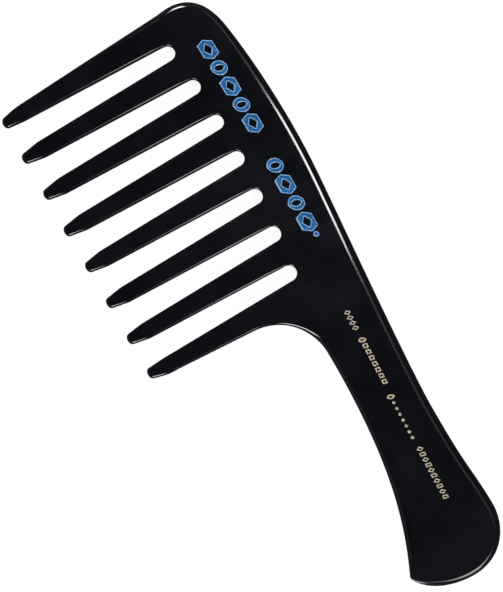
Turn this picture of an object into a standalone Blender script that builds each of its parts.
"""A wide-tooth handle comb, front face up.

Frame: +X runs along the spine towards the handle, +Y from the tooth tips towards the spine, and
+Z out of the front face. The back lies on z = 0. The origin is on the back, in the middle of the
spine, above the middle slot.

The comb is one rigid blank with eight teeth, a crook and a handle. Its front face carries shallow
recesses, and a patch of coloured foil fills each of them.
"""

import math

import bmesh
import bpy

MM = 0.001  # every length below is in millimetres, and every angle in degrees

# ---- teeth and slots --------------------------------------------------------------------------

TEETH = 8
PITCH = 14.3

TIP_Y = -75.8  # tooth tips, at the middle of the row
TIP_LEAN = 0.006  # the tip line climbs this much per millimetre towards the handle
TIP_HALF = 2.02  # half width of a tip where its rounded end starts
TIP_ROUND = 1.5  # height of the rounded end
SHOULDER_UP = 7.1  # from the tip line to the shoulders
SHOULDER_HALF = 2.93  # half width at the shoulder
SHOULDER_SOFT = 1.2  # length of the blend on each side of the shoulder

SLOT_ROUND = 2.7
ROOT_Y = (-15.2, -13.3, -12.4, -12.4, -13.4, -14.3, -16.2)  # centre of each slot's round root

# no two teeth are quite alike: each tip is shifted along the row and dropped below the tip line
TIP_SHIFT = (0.45, 0.0, 0.0, 0.0, 0.0, -0.08, -0.16, -0.86)
TIP_DROP = (-0.06, 0.18, 0.05, 0.25, 0.05, 0.0, 0.0, -0.12)
LAST_SHOULDER_SHIFT = -0.35

# where the straight part of each outer flank meets its curve to the tip, and the heading and
# length of the Bezier handles at both ends of that curve
FIRST_LOW = (-52.75, -67.5)
FIRST_LOW_HANDLE = (-86.7, 3.4)
FIRST_TIP_HANDLE = (101.0, 2.2)
LAST_HIGH = (52.55, -65.5)
LAST_HIGH_HANDLE = (-87.0, 3.6)
LAST_TIP_HANDLE = (76.0, 2.6)

# segments along each part of the teeth
TIP_STEPS = 5  # half of a rounded end
SHOULDER_STEPS = 2
ROOT_STEPS = 10
FIRST_FLANK_STEPS = 6
LAST_FLANK_STEPS = 3
OUTER_CURVE_STEPS = 4

# ---- crook, handle and spine ------------------------------------------------------------------

# Bezier anchors: x, y, heading, handle length before it, handle length after it, segments after it
HANDLE_AND_SPINE = (
    (54.2, -35.0, 81.8, 0.0, 12.7, 9),  # the crook starts at the last tooth
    (72.25, -18.25, 1.9, 5.4, 9.6, 6),
    (101.7, -19.0, -4.4, 9.1, 26.6, 9),
    (153.75, -31.7, -23.3, 12.7, 0.25, 3),  # tight corner
    (154.5, -31.67, 28.0, 0.25, 7.9, 7),
    (163.75, -12.3, 90.0, 6.7, 11.2, 9),  # end of the handle
    (145.85, 5.3, 180.5, 8.8, 13.2, 7),
    (107.1, 3.6, 180.0, 25.1, 15.2, 10),
    (30.0, 8.55, 175.7, 20.0, 6.8, 6),
    (0.3, 10.05, 180.0, 12.7, 23.5, 8),
    (-40.5, 7.2, 187.6, 1.2, 20.5, 9),
    (-56.05, -12.0, 266.8, 1.6, 0.0, 0),  # top of the first tooth's outer flank
)
CROOK_START = HANDLE_AND_SPINE[0][:2]
FIRST_FLANK_TOP = HANDLE_AND_SPINE[-1][:2]

# ---- thickness and edge rounding --------------------------------------------------------------

THICK = 5.8

# the teeth thin down from here to the shoulder, and more steeply from the shoulder to the tip
TAPER_START_Y = -34.0
SHOULDER_Y = -69.0
SHOULDER_THICK = 4.6
LOWEST_Y = -76.2  # just below the lowest tip
TIP_THICK = 2.7

# rounding radii: nearly a full bullnose on the spine and handle, small on the teeth
SPINE_EDGE = 2.7
FREE_END_EDGE = 2.1  # the spine's end above the first tooth
TOOTH_EDGE = 0.95
ROOT_EDGE = 0.5
HANDLE_END_EDGE = 1.75
CORNER_EDGE = 0.45  # the tight corner at the end of the handle
EDGE_STEPS = 3

# where one radius passes into the next
HANDLE_X, HANDLE_Y = 54.0, -36.0  # the crook and handle lie beyond this x and above this y
CROOK_TOP_Y = -12.0  # the crook blends from the tooth's radius below this
CROOK_BLEND_X = (54.0, 76.0)
HANDLE_END_BLEND_X = (147.0, 159.0)
CORNER = (154.1, -31.75)
CORNER_REACH = 5.0
SPINE_BLEND_X = (-54.0, -12.0)
FREE_END_X = -50.0
FREE_END_BLEND_Y = (-52.0, -2.0)
ROOT_BLEND = (-4.5, 0.5)  # in y, from the centre of a slot's root

# ---- marks: plain hexagons, ovals, lozenges, leaves and bars ----------------------------------

RECESS_DEEP = 0.35
FOIL_GAP = 0.06  # clearance around a patch and under it
FOIL_UNDER = 0.05  # the foil's surface lies this far under the face
DIE_RISE = 1.0  # the stamping die stands this far above the face
LEAN = 0.18  # the marks lean towards the handle by this much of their height
HEXAGON_POINT = 0.26  # length of a hexagon's pointed end, as a share of its height
OVAL_STEPS = 16
DOT_STEPS = 12
LEAF_STEPS = 3  # segments along each of a leaf's two arcs

BLUE_HIGH = 5.4
BLUE_SPACE = 0.85
BLUE_KINDS = {  # width, and the shape and size of the opening
    "hexagon": (7.6, "lozenge", (4.3, 3.0)),
    "oval": (5.4, "leaf", (2.1, 3.5)),
}
BLUE_LINES = (  # start of the line, its angle, and the marks along it
    ((-41.0, -2.5), 1.6, ("hexagon", "oval", "hexagon", "oval", "hexagon")),
    ((5.8, -2.1), -0.2, ("oval", "hexagon", "oval", "hexagon")),
)
BLUE_DOT_CENTRE = (35.8, -1.5)
BLUE_DOT_RADIUS = 0.95

GOLD_START = (63.45, -5.6)
GOLD_ANGLE = -1.6
# shape, outer size, and the size of the opening
LOZENGE = ("lozenge", (1.75, 2.5), (0.9, 1.35))
SMALL_LOZENGE = ("lozenge", (1.35, 1.3), None)
LEAF = ("leaf", (1.75, 2.8), (0.75, 1.6))
WIDE_BAR = ("bar", (1.6, 1.7), (0.8, 0.85))
TALL_BAR = ("bar", (1.25, 2.0), (0.6, 1.2))
GOLD_GROUPS = (  # distance along the line, pitch, offset in y, and the marks
    (0.9, 1.97, 0.0, (LOZENGE,) * 4),
    (11.5, 2.3, 0.15, (LEAF,) + (WIDE_BAR,) * 7),
    (33.2, 2.25, -0.45, (LEAF,) + (SMALL_LOZENGE,) * 7),
    (53.6, 2.05, 0.0, (LOZENGE, TALL_BAR) * 5),
)

# ---- meshing ----------------------------------------------------------------------------------

WELD = 1e-6  # metres
CUT_TOLERANCE = 1e-7  # metres
SHARP_ANGLE = 32


# ---- plane geometry ---------------------------------------------------------------------------


def mix(start, end, share):
    return start + (end - start) * share


def mix_points(start, end, share):
    return tuple(mix(a, b, share) for a, b in zip(start, end))


def blend(value, low, high):
    """0 at low and 1 at high, with soft ends."""
    share = min(1.0, max(0.0, (value - low) / (high - low)))
    return share * share * (3 - 2 * share)


def ahead(point, heading, length):
    """The point this far ahead along a heading."""
    turn = math.radians(heading)
    return point[0] + length * math.cos(turn), point[1] + length * math.sin(turn)


def on_circle(centre, radius, turn):
    """The point of a circle at this angle in radians."""
    return centre[0] + radius * math.cos(turn), centre[1] + radius * math.sin(turn)


def straight(start, end, steps):
    """Points of a straight line after its start, up to and with its end."""
    return [
        tuple(a + (b - a) * k / steps for a, b in zip(start, end)) for k in range(1, steps + 1)
    ]


def bezier(start, start_handle, end_handle, end, steps):
    """Points of a cubic curve after its start, up to and with its end."""
    points = []
    for k in range(1, steps + 1):
        done = k / steps
        left = 1 - done
        points.append(
            tuple(
                left**3 * a + 3 * left * left * done * b + 3 * left * done * done * c + done**3 * d
                for a, b, c, d in zip(start, start_handle, end_handle, end)
            )
        )
    return points


def through(anchors):
    """Points of the curve through a table of Bezier anchors, after the first anchor."""
    points = []
    for here, after in zip(anchors, anchors[1:]):
        x, y, heading, _, handle, steps = here
        start_handle = ahead((x, y), heading, handle)
        end_handle = ahead(after, after[2], -after[3])
        points += bezier((x, y), start_handle, end_handle, after[:2], steps)
    return points


def neighbours(loop):
    """The point before, the point itself and the point after, all round a closed loop."""
    return zip(loop[-1:] + loop[:-1], loop, loop[1:] + loop[:1])


# ---- outline ----------------------------------------------------------------------------------


def tooth_x(tooth):
    return (tooth - (TEETH - 1) / 2) * PITCH


def root_centre(slot):
    return (slot - (TEETH - 2) / 2) * PITCH, ROOT_Y[slot]


def tip_line_y(tooth):
    return TIP_Y + TIP_LEAN * tooth_x(tooth)


def half_tip(tooth, side):
    """Half of a tip's rounded end, from its lowest point outwards to -X (-1) or +X (1)."""
    x = tooth_x(tooth) + TIP_SHIFT[tooth]
    y = tip_line_y(tooth) - TIP_DROP[tooth]
    # the sweep stops where the rounded end runs along the flank
    taper = (SHOULDER_HALF - TIP_HALF) / (SHOULDER_UP - TIP_ROUND)
    sweep = math.pi / 2 - math.atan(TIP_ROUND * taper / TIP_HALF)
    points = []
    for k in range(TIP_STEPS + 1):
        turn = sweep * k / TIP_STEPS
        points.append(
            (x + side * TIP_HALF * math.sin(turn), y + TIP_ROUND * (1 - math.cos(turn)))
        )
    return points


def inner_flank(tooth, side):
    """A flank between two teeth, from the tip up to the blend over the shoulder.

    It returns the points and the angle, in radians about the root's centre, at which the
    straight line on from them touches the slot's round root."""
    points = half_tip(tooth, side)
    centre = root_centre(tooth if side > 0 else tooth - 1)
    shift = LAST_SHOULDER_SHIFT if tooth == TEETH - 1 else 0.0
    shoulder = (
        tooth_x(tooth) + shift + side * SHOULDER_HALF,
        tip_line_y(tooth) + SHOULDER_UP,
    )
    across, up = shoulder[0] - centre[0], shoulder[1] - centre[1]
    touch = math.atan2(up, across) - side * math.acos(SLOT_ROUND / math.hypot(across, up))
    root = on_circle(centre, SLOT_ROUND, touch)
    start = mix_points(shoulder, points[-1], SHOULDER_SOFT / math.dist(points[-1], shoulder))
    end = mix_points(shoulder, root, SHOULDER_SOFT / math.dist(root, shoulder))
    points.append(start)
    points += bezier(start, shoulder, shoulder, end, SHOULDER_STEPS)
    return points, touch % (2 * math.pi)


def slot_root(slot, start, end):
    """Clockwise over a slot's round root, from its -X wall to its +X one."""
    while end > start:
        end -= 2 * math.pi
    return [
        on_circle(root_centre(slot), SLOT_ROUND, start + (end - start) * k / ROOT_STEPS)
        for k in range(ROOT_STEPS + 1)
    ]


def first_outer_flank():
    """Down the outer flank of the first tooth to its lowest point."""
    tip = half_tip(0, -1)[::-1]
    points = straight(FIRST_FLANK_TOP, FIRST_LOW, FIRST_FLANK_STEPS)
    points += bezier(
        FIRST_LOW,
        ahead(FIRST_LOW, *FIRST_LOW_HANDLE),
        ahead(tip[0], *FIRST_TIP_HANDLE),
        tip[0],
        OUTER_CURVE_STEPS,
    )
    return points + tip[1:]


def last_outer_flank():
    """Up the outer flank of the last tooth, from after its lowest point to the crook."""
    tip = half_tip(TEETH - 1, 1)
    points = tip[1:]
    points += bezier(
        tip[-1],
        ahead(tip[-1], *LAST_TIP_HANDLE),
        ahead(LAST_HIGH, *LAST_HIGH_HANDLE),
        LAST_HIGH,
        OUTER_CURVE_STEPS,
    )
    return points + straight(LAST_HIGH, CROOK_START, LAST_FLANK_STEPS)


def outline():
    """The comb's outline, anticlockwise seen from the front."""
    points = first_outer_flank()
    for slot in range(TEETH - 1):
        rise, start = inner_flank(slot, 1)
        fall, end = inner_flank(slot + 1, -1)
        points += rise[1:] + slot_root(slot, start, end) + fall[::-1]
    return points + last_outer_flank() + through(HANDLE_AND_SPINE)


# ---- thickness and edge rounding --------------------------------------------------------------


def edge_radius(x, y):
    """Rounding of the edge at a point of the outline."""
    if x > HANDLE_X and y > HANDLE_Y:
        radius = SPINE_EDGE
        if y < CROOK_TOP_Y:
            radius = mix(TOOTH_EDGE, SPINE_EDGE, blend(x, *CROOK_BLEND_X))
        radius -= (SPINE_EDGE - HANDLE_END_EDGE) * blend(x, *HANDLE_END_BLEND_X)
        nearness = math.exp(-((math.dist((x, y), CORNER) / CORNER_REACH) ** 2))
        return mix(radius, CORNER_EDGE, nearness)
    if y > 0:
        return mix(FREE_END_EDGE, SPINE_EDGE, blend(x, *SPINE_BLEND_X))
    if x < FREE_END_X:
        return mix(TOOTH_EDGE, FREE_END_EDGE, blend(y, *FREE_END_BLEND_Y))
    nearest_slot = min(TEETH - 2, max(0, round(x / PITCH + (TEETH - 2) / 2)))
    low, high = (ROOT_Y[nearest_slot] + offset for offset in ROOT_BLEND)
    return mix(TOOTH_EDGE, ROOT_EDGE, blend(y, low, high))


def thickness_share(y):
    """Thickness at this y, as a share of the full one."""
    if y >= TAPER_START_Y:
        return 1.0
    if y >= SHOULDER_Y:
        down = (TAPER_START_Y - y) / (TAPER_START_Y - SHOULDER_Y)
        return mix(THICK, SHOULDER_THICK, down) / THICK
    down = (SHOULDER_Y - y) / (SHOULDER_Y - LOWEST_Y)
    return mix(SHOULDER_THICK, TIP_THICK, down) / THICK


# ---- marks ------------------------------------------------------------------------------------


def lozenge(wide, high):
    return [(wide / 2, 0.0), (0.0, high / 2), (-wide / 2, 0.0), (0.0, -high / 2)]


def bar(wide, high):
    x, y = wide / 2, high / 2
    return [(x, -y), (x, y), (-x, y), (-x, -y)]


def hexagon(wide, high):
    x, y = wide / 2, high / 2
    side = x - high * HEXAGON_POINT
    return [(x, 0.0), (side, y), (-side, y), (-x, 0.0), (-side, -y), (side, -y)]


def oval(wide, high, steps=OVAL_STEPS):
    turns = [2 * math.pi * k / steps for k in range(steps)]
    return [(wide / 2 * math.cos(turn), high / 2 * math.sin(turn)) for turn in turns]


def leaf(wide, high):
    """An upright pointed oval: two arcs that meet at its top and bottom."""
    radius = (high * high / 4 + wide * wide / 4) / wide
    reach = math.asin(high / 2 / radius)
    points = []
    for side in (1, -1):
        for k in range(LEAF_STEPS):
            turn = side * reach * (2 * k / LEAF_STEPS - 1)
            x = side * (radius * math.cos(turn) - radius + wide / 2)
            points.append((x, radius * math.sin(turn)))
    return points


SHAPES = {"lozenge": lozenge, "bar": bar, "hexagon": hexagon, "oval": oval, "leaf": leaf}


def grown(loop, distance):
    """A closed anticlockwise loop moved outwards by this much, with mitred corners."""
    points = []
    for before, here, after in neighbours(loop):
        normals = []
        for start, end in ((before, here), (here, after)):
            x, y = end[0] - start[0], end[1] - start[1]
            length = math.hypot(x, y)
            normals.append((y / length, -x / length))
        (ax, ay), (bx, by) = normals
        share = distance / (1 + ax * bx + ay * by)
        points.append((here[0] + (ax + bx) * share, here[1] + (ay + by) * share))
    return points


def placed(loop, centre, angle):
    """A loop leaned towards the handle, turned onto its line and moved to its place."""
    cos, sin = math.cos(math.radians(angle)), math.sin(math.radians(angle))
    return [
        (
            centre[0] + (x + LEAN * y) * cos - y * sin,
            centre[1] + (x + LEAN * y) * sin + y * cos,
        )
        for x, y in loop
    ]


def blue_marks():
    """Each blue mark: its name, centre, angle, outer loop, and inner loop or None."""
    for group, (start, angle, kinds) in enumerate(BLUE_LINES, 1):
        along = 0.0
        for number, kind in enumerate(kinds, 1):
            wide, opening, opening_size = BLUE_KINDS[kind]
            centre = ahead(start, angle, along + wide / 2)
            outer = SHAPES[kind](wide, BLUE_HIGH)
            inner = SHAPES[opening](*opening_size)
            yield f"blue_foil_{group}_{number}", centre, angle, outer, inner
            along += wide + BLUE_SPACE
    dot = oval(2 * BLUE_DOT_RADIUS, 2 * BLUE_DOT_RADIUS, DOT_STEPS)
    yield "blue_foil_dot", BLUE_DOT_CENTRE, 0.0, dot, None


def gold_marks():
    """Each gold mark, in the same form as the blue ones."""
    for group, (along, pitch, offset, kinds) in enumerate(GOLD_GROUPS, 1):
        for number, (shape, size, opening) in enumerate(kinds, 1):
            x, y = ahead(GOLD_START, GOLD_ANGLE, along + pitch * (number - 1))
            outer = SHAPES[shape](*size)
            inner = SHAPES[shape](*opening) if opening else None
            yield f"gold_foil_{group}_{number}", (x, y + offset), GOLD_ANGLE, outer, inner


# ---- materials --------------------------------------------------------------------------------


def material(name, colour, roughness, metallic=0.0, coat=0.0):
    made = bpy.data.materials.new(name)
    made.use_nodes = True
    shader = made.node_tree.nodes["Principled BSDF"]
    shader.inputs["Base Color"].default_value = (*colour, 1.0)
    shader.inputs["Roughness"].default_value = roughness
    shader.inputs["Metallic"].default_value = metallic
    shader.inputs["Coat Weight"].default_value = coat
    made.diffuse_color = (*colour, 1.0)
    return made


def polished_black():
    return material("polished_black", colour=(0.006, 0.007, 0.010), roughness=0.16, coat=0.3)


def blue_foil():
    return material("blue_foil", colour=(0.055, 0.170, 0.360), roughness=0.35, metallic=0.2)


def gold_foil():
    return material("gold_foil", colour=(0.620, 0.520, 0.340), roughness=0.30, metallic=0.7)


# ---- solids -----------------------------------------------------------------------------------


def clear_scene():
    for old in list(bpy.data.objects):
        bpy.data.objects.remove(old, do_unlink=True)


def collection(name):
    made = bpy.data.collections.new(name)
    bpy.context.scene.collection.children.link(made)
    return made


def mesh_object(name, bm, into):
    """An object made from a bmesh, which is freed."""
    mesh = bpy.data.meshes.new(name)
    bm.to_mesh(mesh)
    bm.free()
    made = bpy.data.objects.new(name, mesh)
    into.objects.link(made)
    return made


def flat_shape(name, loops, low, high, into):
    """A filled 2D curve between two heights, with holes where inner loops lie."""
    curve = bpy.data.curves.new(name, "CURVE")
    curve.dimensions = "2D"
    curve.fill_mode = "BOTH"
    curve.resolution_u = 1
    curve.extrude = (high - low) / 2 * MM
    for loop in loops:
        spline = curve.splines.new("POLY")
        spline.points.add(len(loop) - 1)
        for point, (x, y) in zip(spline.points, loop):
            point.co = (x * MM, y * MM, 0.0, 1.0)
        spline.use_cyclic_u = True
    made = bpy.data.objects.new(name, curve)
    made.location.z = (high + low) / 2 * MM
    into.objects.link(made)
    return made


def closed_mesh(shape):
    """A flat shape turned into a closed mesh in world coordinates; the shape is removed."""
    bpy.context.view_layer.update()
    graph = bpy.context.evaluated_depsgraph_get()
    mesh = bpy.data.meshes.new_from_object(shape.evaluated_get(graph))
    bm = bmesh.new()
    bm.from_mesh(mesh)
    bmesh.ops.remove_doubles(bm, verts=bm.verts, dist=WELD)
    bmesh.ops.recalc_face_normals(bm, faces=bm.faces)
    bm.to_mesh(mesh)
    bm.free()
    mesh.transform(shape.matrix_world)
    bpy.data.objects.remove(shape, do_unlink=True)
    return mesh


def edge_rings(bm):
    """Rings of vertices around the outline, from the front face to the back.

    Each is the outline drawn in by its share of the edge rounding, whose radius changes along
    the outline, which a single bevel width can't give."""
    stations = []
    for before, (x, y), after in neighbours(outline()):
        along_x, along_y = after[0] - before[0], after[1] - before[1]
        length = math.hypot(along_x, along_y)
        stations.append((x, y, -along_y / length, along_x / length, edge_radius(x, y)))

    rings = []
    turns = [math.pi / 2 * k / EDGE_STEPS for k in range(EDGE_STEPS + 1)]
    for face_side, side_turns in ((1, turns), (-1, turns[::-1])):
        for turn in side_turns:
            ring = []
            for x, y, inward_x, inward_y, radius in stations:
                inset = radius * (1 - math.sin(turn))
                z = THICK / 2 + face_side * (THICK / 2 - radius * (1 - math.cos(turn)))
                place = ((x + inward_x * inset) * MM, (y + inward_y * inset) * MM, z * MM)
                ring.append(bm.verts.new(place))
            rings.append(ring)
    return rings


def thin_teeth(bm):
    """Thin the teeth towards their tips, about the middle of the thickness."""
    # edges where the slope changes, so that every band between them stays flat
    for y in (TAPER_START_Y, SHOULDER_Y):
        bmesh.ops.bisect_plane(
            bm,
            geom=bm.verts[:] + bm.edges[:] + bm.faces[:],
            plane_co=(0.0, y * MM, 0.0),
            plane_no=(0.0, 1.0, 0.0),
            dist=CUT_TOLERANCE,
        )
    middle = THICK / 2 * MM
    for vert in bm.verts:
        vert.co.z = middle + (vert.co.z - middle) * thickness_share(vert.co.y / MM)


def comb_blank(into):
    """The comb without its recesses: a loft of rings around the outline."""
    bm = bmesh.new()
    rings = edge_rings(bm)
    for upper, lower in zip(rings, rings[1:]):
        for k in range(len(upper)):
            following = (k + 1) % len(upper)
            bm.faces.new((upper[k], lower[k], lower[following], upper[following]))
    bm.faces.new(rings[0])
    bm.faces.new(rings[-1][::-1])
    thin_teeth(bm)
    bmesh.ops.triangulate(bm, faces=bm.faces[:], quad_method="BEAUTY", ngon_method="BEAUTY")
    bmesh.ops.recalc_face_normals(bm, faces=bm.faces[:])
    return mesh_object("comb_body", bm, into)


def foil_patch(mark, foil, into):
    name, centre, angle, outer, inner = mark
    loops = [placed(outer, centre, angle)]
    if inner:
        loops.append(placed(inner, centre, angle)[::-1])
    low = THICK - RECESS_DEEP + FOIL_GAP
    patch = flat_shape(name, loops, low, THICK - FOIL_UNDER, into)
    patch.data.materials.append(foil)


def stamp_mesh(mark, into):
    """The cutter for one mark's recess, wider than its foil by the gap all round."""
    name, centre, angle, outer, inner = mark
    loops = [placed(grown(outer, FOIL_GAP), centre, angle)]
    if inner:
        loops.append(placed(grown(inner, -FOIL_GAP), centre, angle)[::-1])
    low = THICK - RECESS_DEEP
    return closed_mesh(flat_shape("stamp_" + name, loops, low, THICK + DIE_RISE, into))


def stamping_die(marks, into):
    """One hidden cutter that holds the stamps of every mark."""
    bm = bmesh.new()
    for mark in marks:
        mesh = stamp_mesh(mark, into)
        bm.from_mesh(mesh)
        bpy.data.meshes.remove(mesh)
    die = mesh_object("stamping_die", bm, into)
    die.hide_render = True
    die.display_type = "WIRE"
    return die


def build():
    clear_scene()
    parts = collection("wide_tooth_comb")
    cutters = collection("cutters")

    body = comb_blank(parts)
    body.data.materials.append(polished_black())

    blue, gold = list(blue_marks()), list(gold_marks())
    for marks, foil in ((blue, blue_foil()), (gold, gold_foil())):
        for mark in marks:
            foil_patch(mark, foil, parts)

    stamping = body.modifiers.new("stamped_recesses", "BOOLEAN")
    stamping.operation = "DIFFERENCE"
    stamping.solver = "EXACT"
    stamping.object = stamping_die(blue + gold, cutters)

    body.data.shade_smooth()
    body.data.set_sharp_from_angle(angle=math.radians(SHARP_ANGLE))


build()
